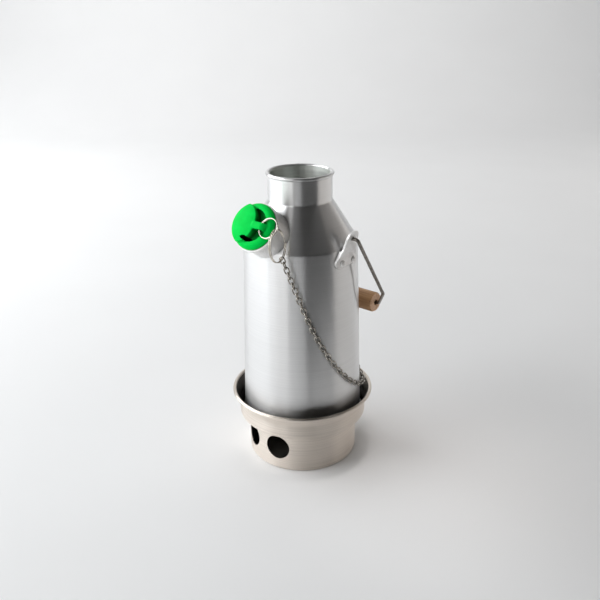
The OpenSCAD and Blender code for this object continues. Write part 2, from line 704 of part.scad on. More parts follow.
link_ring_az = 16;
link_ring_seat = 1.5;
link_ring_low = chain_at(link_s[0]) - chain_dir(link_s[0]) * link_ring_seat;
link_ring_dir = unit(hang - link_ring_low);
ring_hook = 2 * ring_wire_d + ring_turn_gap;
link_ring_high = hang + link_ring_dir * ring_hook;
link_ring_r = norm(link_ring_high - link_ring_low) / 2;
module link_ring() {
  outward = round_body(1, link_ring_az, 0);
  normal = unit(cross(link_ring_dir, outward));
  // Its two turns lie evenly in the first link
  centre = (link_ring_high + link_ring_low) / 2 - normal * ring_lead * 0.27;
  color(wire_steel) frame_at(centre, cross(link_ring_dir, normal), link_ring_dir, normal)
    tube(split_ring_line(link_ring_r), ring_wire_d / 2, ring_sides);
}

fire_base();
kettle_shell();
flue();
spout();
left_bracket();
right_bracket();
left_bracket_rivets();
right_bracket_rivets();
chain_lug();
lug_rivets();
chain();
lug_ring();
handle_wire();
grip();
stopper();
whistle_sleeve();
inner_whistle_plate();
outer_whistle_plate();
stopper_ring();
link_ring();
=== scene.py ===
"""Storm kettle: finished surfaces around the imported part, with its floor, light and camera."""

import math

import bpy
from mathutils import Matrix, Vector


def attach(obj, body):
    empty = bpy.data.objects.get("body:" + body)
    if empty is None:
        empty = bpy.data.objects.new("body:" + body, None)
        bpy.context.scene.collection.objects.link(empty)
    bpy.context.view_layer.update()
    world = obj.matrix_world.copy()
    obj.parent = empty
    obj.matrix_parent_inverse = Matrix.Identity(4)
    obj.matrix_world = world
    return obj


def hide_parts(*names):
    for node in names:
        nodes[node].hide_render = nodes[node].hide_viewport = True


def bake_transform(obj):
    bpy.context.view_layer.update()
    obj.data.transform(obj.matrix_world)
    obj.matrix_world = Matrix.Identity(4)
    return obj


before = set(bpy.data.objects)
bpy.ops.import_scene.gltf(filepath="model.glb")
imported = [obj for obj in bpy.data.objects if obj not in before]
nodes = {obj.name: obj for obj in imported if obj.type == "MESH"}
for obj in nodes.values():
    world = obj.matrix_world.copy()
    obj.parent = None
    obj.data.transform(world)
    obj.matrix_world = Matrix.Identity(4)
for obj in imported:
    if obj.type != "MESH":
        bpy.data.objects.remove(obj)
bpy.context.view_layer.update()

MM = 0.001
QUARTER_X = Matrix.Rotation(math.pi / 2, 4, "X")
QUARTER_Y = Matrix.Rotation(math.pi / 2, 4, "Y")

# Points of a mesh that lie closer than this are one point, in millimetres
SAME_PLACE = 1e-4
# How near a solid outline comes to the axis it is spun about
AXIS_R = 0.01

# Sizes that several pieces share, in millimetres, as in the part's source
KETTLE_Z = 43.15
SHELL_FOOT_Z = KETTLE_Z + 1.2
SHOULDER_Z = 223.95
NECK_Z = 261.85
TOP_Z = 287.25
FOOT_R = 58.7
SHOULDER_R = 53.6
NECK_R = 29.75
ROLL_R = 1.6
SEAT_GAP = 0.05
SPOUT_TILT = math.radians(34)
SPOUT_LIP = Vector((0, -58.5919, 247.544))
PIVOT_Z = 234.65
BAIL_ANGLE = math.radians(37.1153)
BAIL_LEN = 109.5

# Frames of the spout, with its lip at zero and its axis along Z, and of the bail at its pivot
to_spout = Matrix.Translation(SPOUT_LIP) @ Matrix.Rotation(math.pi / 2 - SPOUT_TILT, 4, "X")
to_bail = Matrix.Translation((0, 0, PIVOT_Z)) @ Matrix.Rotation(BAIL_ANGLE, 4, "X")


# Modelling helpers
def deselect():
    bpy.ops.object.select_all(action="DESELECT")


def only(obj):
    """Selects one object and makes it the active one."""
    deselect()
    obj.select_set(True)
    bpy.context.view_layer.objects.active = obj


def edit():
    bpy.ops.object.mode_set(mode="EDIT")


def leave():
    bpy.ops.object.mode_set(mode="OBJECT")


def named(name):
    """Names the object that an operator has just made."""
    obj = bpy.context.object
    obj.name = name
    obj.data.name = name
    return obj


def pick(obj, test):
    """Selects the vertices that pass the test, from edit mode, and stays in edit mode."""
    bpy.ops.mesh.select_mode(type="VERT")
    bpy.ops.mesh.select_all(action="DESELECT")
    leave()
    for vertex in obj.data.vertices:
        vertex.select = test(vertex.co)
    edit()


def modify(obj, kind, **values):
    """Adds a modifier with these values and applies it."""
    only(obj)
    modifier = obj.modifiers.new(kind.lower(), kind)
    for key, value in values.items():
        setattr(modifier, key, value)
    bpy.ops.object.modifier_apply(modifier=modifier.name)


def join(name, objs):
    """Makes one object of several, in the place of the first."""
    deselect()
    for obj in objs:
        obj.select_set(True)
    bpy.context.view_layer.objects.active = objs[0]
    bpy.ops.object.join()
    return named(name)


def place(obj, matrix):
    """Moves a shape to its place, with the place kept in its vertices."""
    only(obj)
    obj.matrix_world = matrix
    bpy.ops.object.transform_apply(location=True, rotation=True, scale=True)


def smooth(obj, degrees):
    only(obj)
    bpy.ops.object.shade_smooth_by_angle(angle=math.radians(degrees))


def to_metres(obj):
    only(obj)
    obj.scale = (MM, MM, MM)
    bpy.ops.object.transform_apply(location=False, rotation=False, scale=True)


def lathe(name, profile, steps=160):
    """Draws an outline of (radius, height) points by extruding a vertex, closes it and spins it about Z."""
    deselect()
    bpy.ops.mesh.primitive_plane_add(size=0.1)
    obj = named(name)
    edit()
    bpy.ops.mesh.select_all(action="SELECT")
    bpy.ops.mesh.merge(type="CENTER")
    points = [Vector((radius, 0, height)) for radius, height in profile]
    bpy.ops.transform.translate(value=points[0])
    for start, end in zip(points, points[1:]):
        bpy.ops.mesh.extrude_region_move(TRANSFORM_OT_translate={"value": end - start})
    ends = (points[0], points[-1])
    pick(obj, lambda co: any((co - end).length < SAME_PLACE for end in ends))
    bpy.ops.mesh.edge_face_add()
    bpy.ops.mesh.select_all(action="SELECT")
    bpy.ops.mesh.spin(
        steps=steps, angle=2 * math.pi, center=(0, 0, 0), axis=(0, 0, 1), use_auto_merge=True
    )
    bpy.ops.mesh.select_all(action="SELECT")
    bpy.ops.mesh.remove_doubles(threshold=SAME_PLACE)
    bpy.ops.mesh.normals_make_consistent(inside=False)
    leave()
    return obj


def cylinder(name, radius, depth, matrix, vertices=96):
    deselect()
    bpy.ops.mesh.primitive_cylinder_add(radius=radius, depth=depth, vertices=vertices)
    obj = named(name)
    place(obj, matrix)
    return obj


def block(size, at):
    deselect()
    bpy.ops.mesh.primitive_cube_add(size=1)
    obj = named("block")
    place(obj, Matrix.Translation(at) @ Matrix.Diagonal((*size, 1)))
    return obj


def combine(obj, operation, *others):
    """Adds, cuts or intersects a shape with others, which are used up."""
    for other in others:
        modify(obj, "BOOLEAN", object=other, operation=operation, solver="EXACT")
        bpy.data.objects.remove(other, do_unlink=True)


def cut(obj, cutter):
    combine(obj, "DIFFERENCE", cutter)


# Outlines
def left_of(v):
    return Vector((-v.y, v.x))


def turned(v, angle):
    c, s = math.cos(angle), math.sin(angle)
    return Vector((v.x * c - v.y * s, v.x * s + v.y * c))


def moved(path, wall):
    """The path moved to its left by the thickness of a wall, with its corners kept sharp."""
    out = []
    for i, p in enumerate(path):
        before = (p - path[i - 1]).normalized() if i else (path[1] - path[0]).normalized()
        after = (path[i + 1] - p).normalized() if i < len(path) - 1 else before
        n1, n2 = left_of(before), left_of(after)
        out.append(p + wall * (n1 + n2) / (1 + n1.dot(n2)))
    return out


def rounded(path, bends, steps=10):
    """The path with an arc of the given radius at each corner, or a sharp corner where it is zero."""
    out = []
    for i, p in enumerate(path):
        if not bends[i]:
            out.append(p)
            continue
        before, after = (p - path[i - 1]).normalized(), (path[i + 1] - p).normalized()
        side = 1 if before.cross(after) > 0 else -1
        angle = math.acos(max(-1, min(1, before.dot(after))))
        start = p - before * bends[i] * math.tan(angle / 2)
        centre = start + left_of(before) * side * bends[i]
        out += [centre + turned(start - centre, side * angle * k / steps) for k in range(steps + 1)]
    return out


def sheet(path, bends, wall):
    """Outline of a bent sheet: the path, and back along its left at the thickness of the wall."""
    path = [Vector(p) for p in path]
    inner_bends = []
    for i, bend in enumerate(bends):
        if bend:
            turn = (path[i] - path[i - 1]).cross(path[i + 1] - path[i])
            bend = bend - wall * (1 if turn > 0 else -1)
        inner_bends.append(bend)
    return rounded(path, bends) + rounded(moved(path, wall), inner_bends)[::-1]


def ring_profile(r, z, radius, steps=24):
    """A circle about (r, z)."""
    angles = [2 * math.pi * k / steps for k in range(steps)]
    return [(r + radius * math.cos(angle), z + radius * math.sin(angle)) for angle in angles]


# Material helpers
def material(name):
    mat = bpy.data.materials.new(name)
    mat.use_nodes = True
    return mat, mat.node_tree, mat.node_tree.nodes["Principled BSDF"]


def node(tree, kind, **values):
    """A node with values for its sockets, or for its settings where no socket has the name."""
    made = tree.nodes.new(kind)
    for key, value in values.items():
        if key in made.inputs:
            made.inputs[key].default_value = value
        else:
            setattr(made, key, value)
    return made


def grain(tree, scale, detail=4.0, rough=0.6):
    """Noise on object coordinates, stretched by scale."""
    coords = node(tree, "ShaderNodeTexCoord")
    mapping = node(tree, "ShaderNodeMapping", Scale=scale)
    tree.links.new(coords.outputs["Object"], mapping.inputs["Vector"])
    noise = node(tree, "ShaderNodeTexNoise", Scale=1.0, Detail=detail, Roughness=rough)
    tree.links.new(mapping.outputs["Vector"], noise.inputs["Vector"])
    return noise.outputs["Fac"]


def ramp(tree, source, stops):
    """Colours from a value, with stops of (value, colour)."""
    colours = node(tree, "ShaderNodeValToRGB")
    elements = colours.color_ramp.elements
    while len(elements) < len(stops):
        elements.new(0.5)
    for element, (position, colour) in zip(elements, stops):
        element.position = position
        element.color = (*colour, 1)
    tree.links.new(source, colours.inputs["Fac"])
    return colours.outputs["Color"]


def between(tree, source, dark, light):
    """Colours from dark to light over the range that noise mostly takes."""
    return ramp(tree, source, [(0.3, dark), (0.7, light)])


def grey(value):
    return (value, value, value)


def bump(tree, source, strength, distance, shader):
    relief = node(tree, "ShaderNodeBump", Strength=strength, Distance=distance)
    tree.links.new(source, relief.inputs["Height"])
    tree.links.new(relief.outputs["Normal"], shader.inputs["Normal"])


def corners(tree, colour, reach, darkest):
    """Painted shade: darkens a colour in corners and under what lies close to it, by ambient occlusion
    within reach in metres.
    """
    near = node(tree, "ShaderNodeAmbientOcclusion", samples=8, Distance=reach)
    shade = ramp(tree, near.outputs["AO"], [(0.45, grey(darkest)), (0.85, grey(1))])
    darkened = node(tree, "ShaderNodeVectorMath", operation="MULTIPLY")
    tree.links.new(colour, darkened.inputs[0])
    tree.links.new(shade, darkened.inputs[1])
    return darkened.outputs["Vector"]


def metal(name, dark, light, rough, stretch, relief, brushed=0.0, painted_shade=()):
    """Metal with fine grain; brushed in rings about Z, it spreads what it mirrors along Z.

    Painted shade in its corners and under close parts is given as its reach in metres and its darkest tone.
    """
    mat, tree, shader = material(name)
    shader.inputs["Metallic"].default_value = 1
    lines = grain(tree, stretch)
    colour = between(tree, lines, dark, light)
    # Painted shade: the grain colour is darkened in corners and under close parts.
    if painted_shade:
        colour = corners(tree, colour, *painted_shade)
    tree.links.new(colour, shader.inputs["Base Color"])
    spots = grain(tree, (40, 40, 40), detail=2)
    uneven = between(tree, spots, grey(rough - 0.015), grey(rough + 0.015))
    tree.links.new(uneven, shader.inputs["Roughness"])
    if brushed:
        shader.inputs["Anisotropic"].default_value = brushed
        shader.inputs["Anisotropic Rotation"].default_value = 0.25
        tangent = node(tree, "ShaderNodeTangent", direction_type="RADIAL", axis="Z")
        tree.links.new(tangent.outputs["Tangent"], shader.inputs["Tangent"])
    bump(tree, lines, relief, 0.0001, shader)
    return mat


def silicone(name, dark, light):
    mat, tree, shader = material(name)
    colour = between(tree, grain(tree, (120, 120, 120), detail=5), dark, light)
    # Painted shade darkens the silicone in the pocket and in its other corners.
    tree.links.new(corners(tree, colour, 0.01, 0.2), shader.inputs["Base Color"])
    shader.inputs["Roughness"].default_value = 0.5
    shader.inputs["Specular IOR Level"].default_value = 0.03
    bump(tree, grain(tree, (900, 900, 900), detail=2), 0.06, 0.0001, shader)
    return mat


def oiled_wood(name, stretch, stops):
    mat, tree, shader = material(name)
    fibres = grain(tree, stretch, detail=6, rough=0.65)
    tree.links.new(ramp(tree, fibres, stops), shader.inputs["Base Color"])
    shader.inputs["Roughness"].default_value = 0.5
    bump(tree, fibres, 0.2, 0.0002, shader)
    return mat


def paper(name, low, high):
    mat, tree, shader = material(name)
    tone = between(tree, grain(tree, (3, 3, 3), detail=2), grey(low), grey(high))
    tree.links.new(tone, shader.inputs["Base Color"])
    shader.inputs["Roughness"].default_value = 0.9
    shader.inputs["Specular IOR Level"].default_value = 0.1
    return mat


# Materials
# Painted shade darkens the satin, grained, bracket and inner base metals in corners and under close parts.
satin = metal(
    "satin_aluminium", grey(0.735), grey(0.79), 0.32, (6, 6, 1400), 0.02, brushed=0.95, painted_shade=(0.005, 0.3)
)
spout_metal = metal(
    "grained_aluminium", (0.78, 0.775, 0.765), (0.97, 0.965, 0.955), 0.55, (900, 900, 900), 0.35,
    painted_shade=(0.012, 0.25),
)
bracket_metal = metal(
    "bracket_aluminium", (0.88, 0.87, 0.86), (0.97, 0.96, 0.95), 0.55, (200, 200, 200), 0.05,
    painted_shade=(0.003, 0.25),
)
rivet_metal = metal(
    "rivet_aluminium", (0.92, 0.91, 0.90), (0.98, 0.97, 0.96), 0.7, (300, 300, 300), 0.04
)
base_steel = metal(
    "brushed_base_steel", (0.68, 0.615, 0.55), (0.84, 0.765, 0.69), 0.36, (6, 6, 1800), 0.03, brushed=1.0
)
inner_steel = metal(
    "inner_base_steel", (0.40, 0.37, 0.34), (0.58, 0.54, 0.50), 0.30, (12, 12, 800), 0.05, brushed=0.6,
    painted_shade=(0.015, 0.3),
)
flue_metal = metal(
    "chimney_aluminium", (0.60, 0.62, 0.59), (0.80, 0.82, 0.78), 0.42, (14, 14, 700), 0.05, brushed=0.6
)
wire_metal = metal("bright_wire", (0.29, 0.27, 0.24), (0.54, 0.51, 0.46), 0.18, (300, 300, 300), 0.02)
bail_metal = metal("bail_wire", (0.15, 0.135, 0.12), (0.32, 0.295, 0.27), 0.28, (300, 300, 300), 0.02)
ring_metal = metal("split_ring_wire", (0.58, 0.54, 0.47), (0.84, 0.79, 0.70), 0.20, (300, 300, 300), 0.02)
whistle_metal = metal("whistle_steel", grey(0.60), grey(0.80), 0.25, (300, 300, 300), 0.02)
green = silicone("green_silicone", (0.0, 0.58, 0.065), (0.0, 0.67, 0.085))
# Painted shade: a near-black copy of the green for the faces inside the whistle's outlet.
green_painted_shade = silicone("green_silicone_painted_shade", (0.0, 0.05, 0.01), (0.0, 0.08, 0.015))
wood = oiled_wood(
    "oiled_wood", (14, 260, 260),
    [(0.3, (0.13, 0.05, 0.02)), (0.45, (0.42, 0.22, 0.10)), (0.75, (0.68, 0.42, 0.22))],
)
end_wood = oiled_wood(
    "end_grain_wood", (60, 420, 420),
    [(0.3, (0.36, 0.18, 0.09)), (0.5, (0.72, 0.44, 0.27)), (0.75, (0.86, 0.60, 0.42))],
)
white_paper = paper("pale_floor", 0.84, 0.86)
black_card = paper("dark_card", 0.025, 0.035)


def coat(obj, *finishes):
    for finish in finishes:
        obj.data.materials.append(finish)


def second_finish(obj, test):
    """Gives the faces that pass the test the second of the object's materials."""
    for face in obj.data.polygons:
        if test(face):
            face.material_index = 1


def dress(obj, body, replaced, angle=35):
    """A finished piece: in metres and smooth, on its body, in place of a CAD node."""
    to_metres(obj)
    smooth(obj, angle)
    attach(obj, body)
    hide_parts(replaced)


# Fire base
BASE_WALL = 1.0
BASE_R = 54.0
BASE_UP_R = 63.3
BASE_RIM_R = 70.0
LEDGE_Z = 43.0
BASE_TOP = 69.0
FLARE_H = 11.5
BASE_BENDS = [0, 3, 1.5, 3, 8, 0]
AIR_HOLE_R = 12.5
AIR_HOLE_Z = 24.5
AIR_HOLE_TURNS = (-26.5, 12.5)
AIR_HOLE_CUT = 40
INNER_FINISH_TOP = BASE_TOP - 3.4
INNER_FINISH_R = BASE_UP_R + 2

rim_roll = (BASE_RIM_R - ROLL_R, BASE_TOP - ROLL_R)
under_ledge = LEDGE_Z - BASE_WALL
base_path = [
    (AXIS_R, 0), (BASE_R, 0), (BASE_R, under_ledge), (BASE_UP_R, under_ledge),
    (BASE_UP_R, BASE_TOP - FLARE_H), rim_roll,
]


def inside_base(face):
    """Whether a face of the base looks inwards or up, below the rim."""
    out = Vector((face.center.x, face.center.y, 0))
    looks_in = face.normal.dot(out.normalized()) < -0.2
    looks_up = face.normal.z > 0.3 and out.length < INNER_FINISH_R
    return (looks_in or looks_up) and face.center.z < INNER_FINISH_TOP


base = lathe("base_dish", sheet(base_path, BASE_BENDS, BASE_WALL))
for azimuth in AIR_HOLE_TURNS:
    to_hole = Matrix.Rotation(math.radians(azimuth), 4, "Z") @ Matrix.Translation((0, -BASE_R, AIR_HOLE_Z))
    cut(base, cylinder("hole_cutter", AIR_HOLE_R, AIR_HOLE_CUT, to_hole @ QUARTER_X))
base = join("base_dish", [base, lathe("rim_roll", ring_profile(*rim_roll, ROLL_R))])
coat(base, base_steel, inner_steel)
second_finish(base, inside_base)
dress(base, "base", "fire_base")

# Kettle shell
SHELL_WALL = 1.2
SHELL_PATH = [
    (FOOT_R, SHELL_FOOT_Z), (SHOULDER_R, SHOULDER_Z), (NECK_R, NECK_Z),
    (NECK_R, TOP_Z - 2 * ROLL_R - SEAT_GAP),
]
SHELL_BENDS = [0, 5, 4, 0]
SPOUT_R = 21.0
SPOUT_WALL = 1.2
PORT_R = SPOUT_R - SPOUT_WALL
PORT_CUT = 40

shell = lathe("shell_skin", sheet(SHELL_PATH, SHELL_BENDS, SHELL_WALL), steps=192)
cut(shell, cylinder("port_cutter", PORT_R, PORT_CUT, to_spout @ Matrix.Translation((0, 0, -PORT_CUT / 2))))
coat(shell, satin)
dress(shell, "kettle", "kettle_shell")

# Flue, with the folded seam at its foot and the rolled lip at its neck
FLUE_WALL = 1.0
FLUE_FOOT_R = 52.5
FLUE_NECK_R = 28.5
FLUE_BEND_Z = NECK_Z - 4
FLUE_BENDS = [0, 4, 0]
SEAM_OUT_R = 59.95
SEAM_SEAT_R = 58.76
SEAM_TOP = 47.15

flue_path = [(FLUE_FOOT_R, KETTLE_Z), (FLUE_NECK_R, FLUE_BEND_Z), (FLUE_NECK_R, TOP_Z - ROLL_R)]
seam_in_r = FLUE_FOOT_R - FLUE_WALL
flue = lathe("flue_skin", sheet(flue_path, FLUE_BENDS, FLUE_WALL))
seam = lathe("foot_seam", [
    (seam_in_r, KETTLE_Z), (SEAM_OUT_R, KETTLE_Z), (SEAM_OUT_R, SEAM_TOP), (SEAM_SEAT_R, SEAM_TOP),
    (SEAM_SEAT_R, SHELL_FOOT_Z), (seam_in_r, SHELL_FOOT_Z),
])
neck_lip = lathe("neck_lip", ring_profile(NECK_R + SEAT_GAP, TOP_Z - ROLL_R, ROLL_R))
coat(neck_lip, satin)
coat(seam, satin)
coat(flue, flue_metal)
flue = join("flue_skin", [flue, seam, neck_lip])
dress(flue, "kettle", "flue")

# Spout, trimmed to the outside of the shell
SPOUT_LEN = 38

tube = lathe("spout_tube", [(PORT_R, -SPOUT_LEN), (SPOUT_R, -SPOUT_LEN), (SPOUT_R, 0), (PORT_R, 0)])
place(tube, to_spout)
shell_outside = rounded([Vector(p) for p in SHELL_PATH], SHELL_BENDS)
cut(tube, lathe("kettle_form", [(AXIS_R, SHELL_FOOT_Z), *shell_outside, (AXIS_R, TOP_Z)]))
spout_lip = lathe("spout_lip", ring_profile(SPOUT_R, 0, ROLL_R))
place(spout_lip, to_spout)
coat(spout_lip, bracket_metal)
coat(tube, spout_metal)
spout = join("spout_tube", [tube, spout_lip])
dress(spout, "kettle", "spout")

# Grip, turned about its own axis, with wider holes at its ends
GRIP_HALF = 42.0
GRIP_R = 10.0
GRIP_ROUND = 2.0
GRIP_BORE_R = 2.0
END_HOLE_R = 2.9
END_HOLE_DEPTH = 3.5
END_HOLE_CONE = 0.5

grip_half = [
    (GRIP_BORE_R, GRIP_HALF - END_HOLE_DEPTH - END_HOLE_CONE),
    (END_HOLE_R, GRIP_HALF - END_HOLE_DEPTH),
    (END_HOLE_R, GRIP_HALF),
    (GRIP_R - GRIP_ROUND, GRIP_HALF),
    (GRIP_R - 0.35 * GRIP_ROUND, GRIP_HALF - 0.3 * GRIP_ROUND),
    (GRIP_R, GRIP_HALF - GRIP_ROUND),
]
grip = lathe("wooden_grip", [(r, -z) for r, z in grip_half] + grip_half[::-1], steps=96)
coat(grip, wood, end_wood)
second_finish(grip, lambda face: abs(face.normal.z) > 0.8)
place(grip, to_bail @ Matrix.Translation((0, 0, -BAIL_LEN)) @ QUARTER_Y)
dress(grip, "handle_grip", "grip")

# Handle wire: runs and turns of its right half, from the middle of the grip to the end in the ear
BAIL_WIRE_R = 1.6
BAIL_RUNS = [42.7117, 22.4313, 82.9885, 7.90748]
BAIL_TURNS = [58.2931, 27.5912, 94.1157]
BAIL_BENDS = [5.0, 5.0, 2.8]
BAIL_END_BEVEL = 0.5


def upright(v):
    """A point of the bail's own plane, in the frame of the bail."""
    return Vector((v.x, 0, v.y))


at = Vector((0, -BAIL_LEN))
heading = 0.0
deselect()
bpy.ops.mesh.primitive_circle_add(
    radius=BAIL_WIRE_R, vertices=20, rotation=(0, math.pi / 2, 0), location=upright(at)
)
handle = named("bail_wire")
bpy.ops.object.transform_apply(location=True, rotation=True, scale=True)
edit()
bpy.ops.mesh.select_all(action="SELECT")
for i, run in enumerate(BAIL_RUNS):
    ahead = Vector((math.cos(heading), math.sin(heading)))
    bpy.ops.mesh.extrude_region_move(TRANSFORM_OT_translate={"value": upright(ahead * run)})
    at = at + ahead * run
    if i < len(BAIL_TURNS):
        turn = math.radians(BAIL_TURNS[i])
        centre = at + left_of(ahead) * BAIL_BENDS[i]
        bpy.ops.mesh.spin(steps=12, angle=turn, center=upright(centre), axis=(0, 1, 0), use_auto_merge=False)
        at = centre + turned(at - centre, turn)
        heading += turn
bpy.ops.mesh.edge_face_add()
leave()
modify(handle, "MIRROR", use_axis=(True, False, False), use_mirror_merge=True, merge_threshold=0.01)
modify(handle, "BEVEL", width=BAIL_END_BEVEL, segments=3, limit_method="ANGLE", angle_limit=math.radians(60))
edit()
bpy.ops.mesh.select_all(action="SELECT")
bpy.ops.mesh.normals_make_consistent(inside=False)
leave()
place(handle, to_bail)
coat(handle, bail_metal)
dress(handle, "handle", "handle_wire", angle=50)

# Chain: a hanging curve laid round the body, from the split ring to the lug on the back
LINKS = 48
PITCH = 5.3078
LINK_W = 5.4
CHAIN_WIRE = 1.2
LINK_PLAY = 0.25
LINK_HALF = (PITCH + CHAIN_WIRE + LINK_PLAY) / 2
LINK_BOW = (LINK_W - CHAIN_WIRE) / 2
LAST_LINK_BACK = 5.4
SAG = 53.0
LOW_Z = 75.0
LOW_AZ = math.radians(132.829)
LUG_AZ = math.pi
WRAP_R = 57.5
BODY_GAP = 0.25
FREE_Z = KETTLE_Z + 0.6 * (SHOULDER_Z - KETTLE_Z)
FREE_OUT = 9.0
CHAIN_END = SAG * math.sinh((LUG_AZ - LOW_AZ) * WRAP_R / SAG)


def shell_r(z):
    return FOOT_R + (SHOULDER_R - FOOT_R) * (z - SHELL_FOOT_Z) / (SHOULDER_Z - SHELL_FOOT_Z)


def round_body(r, az, z):
    """A place round the kettle, with its azimuth counted from the front."""
    return Vector((r * math.sin(az), -r * math.cos(az), z))


def chain_az(t):
    return LOW_AZ + SAG * math.asinh(t / SAG) / WRAP_R


def chain_at(t):
    """The chain's middle at t along it, from its lowest point; above FREE_Z it hangs away from the body."""
    z = LOW_Z + SAG * (math.sqrt(1 + (t / SAG) ** 2) - 1)
    free = max(0, z - FREE_Z) / (SHOULDER_Z - FREE_Z)
    return round_body(shell_r(z) + LINK_W / 2 + BODY_GAP + FREE_OUT * free ** 2, chain_az(t), z)


def chain_way(t):
    return chain_at(t + 0.5) - chain_at(t - 0.5)


def back_along(t, step):
    return t - step / chain_way(t - step / 2).length


places = [back_along(CHAIN_END, LAST_LINK_BACK)]
while len(places) < LINKS:
    places.insert(0, back_along(places[0], PITCH))

deselect()
bpy.ops.mesh.primitive_torus_add(
    major_radius=LINK_BOW, minor_radius=CHAIN_WIRE / 2, major_segments=28, minor_segments=12
)
link = named("link")
edit()
for side in (-1, 1):
    pick(link, lambda co: co.x * side > SAME_PLACE)
    bpy.ops.transform.translate(value=(side * (LINK_HALF - LINK_BOW), 0, 0))
leave()
links = []
for i, t in enumerate(places):
    along = chain_way(t).normalized()
    across = along.cross(round_body(1, chain_az(t), 0)).normalized()
    flat = across.cross(along) if (LINKS - 1 - i) % 2 == 0 else across
    copy = link.copy()
    copy.data = link.data.copy()
    bpy.context.scene.collection.objects.link(copy)
    to_link = Matrix((along, flat, along.cross(flat))).transposed().to_4x4()
    place(copy, Matrix.Translation(chain_at(t)) @ to_link)
    links.append(copy)
bpy.data.objects.remove(link, do_unlink=True)
chain = join("stopper_chain", links)
to_metres(chain)
smooth(chain, 60)
coat(chain, wire_metal)
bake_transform(chain)
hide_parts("chain")

# Split rings: one in the stopper's arm, and one between it and the chain
RING_WIRE = 0.9
TURN_GAP = 0.42
RING_PITCH = RING_WIRE + TURN_GAP
RING_TURN = math.radians(347)
RING_RISE = 0.964 * RING_PITCH
RING_DROP = 0.98 * RING_PITCH
RING_R = 9.0
RING_X = 12.1 + RING_R
RING_Z = 9.55
HANG_ANGLE = math.radians(-25)
LINK_RING_AZ = math.radians(16)
LINK_RING_REACH = 1.5
LINK_RING_SHIFT = 0.27


def split_ring(name, radius, matrix, replaced):
    """Two turns of wire, screwed from a circle about the ring's axis."""
    deselect()
    bpy.ops.mesh.primitive_circle_add(
        radius=RING_WIRE / 2, vertices=12, rotation=(math.pi / 2, 0, 0), location=(radius, 0, 0),
        fill_type="NGON",
    )
    obj = named(name)
    bpy.ops.object.transform_apply(location=True, rotation=True, scale=True)
    modify(
        obj, "SCREW", axis="Z", angle=RING_TURN, screw_offset=RING_RISE, iterations=2,
        steps=48, render_steps=48, use_merge_vertices=True, merge_threshold=0.001,
    )
    edit()
    bpy.ops.mesh.select_all(action="SELECT")
    bpy.ops.mesh.remove_doubles(threshold=0.001)
    bpy.ops.mesh.normals_make_consistent(inside=False)
    bpy.ops.transform.translate(value=(0, 0, -RING_DROP))
    leave()
    place(obj, matrix)
    coat(obj, ring_metal)
    dress(obj, "stopper", replaced, angle=60)


split_ring("stopper_split_ring", RING_R, to_spout @ Matrix.Translation((RING_X, 0, RING_Z)), "stopper_ring")
hang = to_spout @ Vector((RING_X + RING_R * math.cos(HANG_ANGLE), RING_R * math.sin(HANG_ANGLE), RING_Z))
ring_low = chain_at(places[0]) - chain_way(places[0]).normalized() * LINK_RING_REACH
ring_way = (hang - ring_low).normalized()
ring_high = hang + ring_way * (2 * RING_WIRE + TURN_GAP)
ring_axis = ring_way.cross(round_body(1, LINK_RING_AZ, 0)).normalized()
ring_frame = Matrix((ring_way.cross(ring_axis), ring_way, ring_axis)).transposed().to_4x4()
ring_centre = (ring_high + ring_low) / 2 - ring_axis * RING_PITCH * LINK_RING_SHIFT
link_ring_r = (ring_high - ring_low).length / 2
split_ring("chain_split_ring", link_ring_r, Matrix.Translation(ring_centre) @ ring_frame, "link_ring")

# Stopper, about the spout's axis, with the spout's lip at zero
PLUG_FOOT = -13
PLUG_R = 19.55
PLUG_CHAMFER = 1.5
GROOVE_LOW = -4
GROOVE_HIGH = -2
GROOVE_DEPTH = 0.7
SEAT = 1.75
HEAD_R = 21.3
HEAD_FOOT_BEND = 0.6
HEAD_EDGE_BEND = 4.8
RIM_TOP = 7.75
POCKET_R = 15.0
POCKET_FLOOR = 3.55
COLUMN_H = 24
SUNK = 1
THUMB_TOP = 12.75
THUMB_IN = 1.2
THUMB_EDGE = 6.0
THUMB_ARC_R = 18.0
THUMB_CROWN_R = 51.12
THUMB_CROWN_X = -3.41
ARM_TOP = 12.9
ARM_W = 6.4
ARM_H = 14
ARM_ROOT = THUMB_EDGE - 2
ARM_END_R = 4.5
ARM_CROWN_R = 8.0
ARM_CROWN_LEN = 60
RING_HOLE_X = 12.4
RING_HOLE_R = 2.1
WHISTLE_BORE_R = 8
WHISTLE_BORE_LEN = 14
CHAMBER_R = 5
CHAMBER_LEN = 11.95
CHAMBER_FOOT = -1
PASSAGE_W = 5
PASSAGE_LIFT = 0.5
EYE_W = 8.4
EYE_H = 3.4
EYE_X = -0.9
EYE_Y = -12.6
EYE_DEPTH = 8.0
EYE_MARGIN = 0.25
EYE_R = (EYE_W ** 2 + EYE_H ** 2) / (4 * EYE_H)
SKIN_VOXEL = 0.34

groove_r = PLUG_R - GROOVE_DEPTH
stopper_path = [
    (AXIS_R, PLUG_FOOT), (PLUG_R - PLUG_CHAMFER, PLUG_FOOT), (PLUG_R, PLUG_FOOT + PLUG_CHAMFER),
    (PLUG_R, GROOVE_LOW), (groove_r, GROOVE_LOW), (groove_r, GROOVE_HIGH), (PLUG_R, GROOVE_HIGH),
    (PLUG_R, SEAT), (HEAD_R, SEAT), (HEAD_R, RIM_TOP), (AXIS_R, RIM_TOP),
]
stopper_bends = [0] * 8 + [HEAD_FOOT_BEND, HEAD_EDGE_BEND, 0]
eye_centres = [(EYE_X, EYE_Y + side * (EYE_R - EYE_H / 2)) for side in (-1, 1)]


def pillar(name, radius, x, foot, vertices):
    """A round column along the stopper's axis, moved along X, from its foot up."""
    return cylinder(name, radius, COLUMN_H, Matrix.Translation((x, 0, foot + COLUMN_H / 2)), vertices)


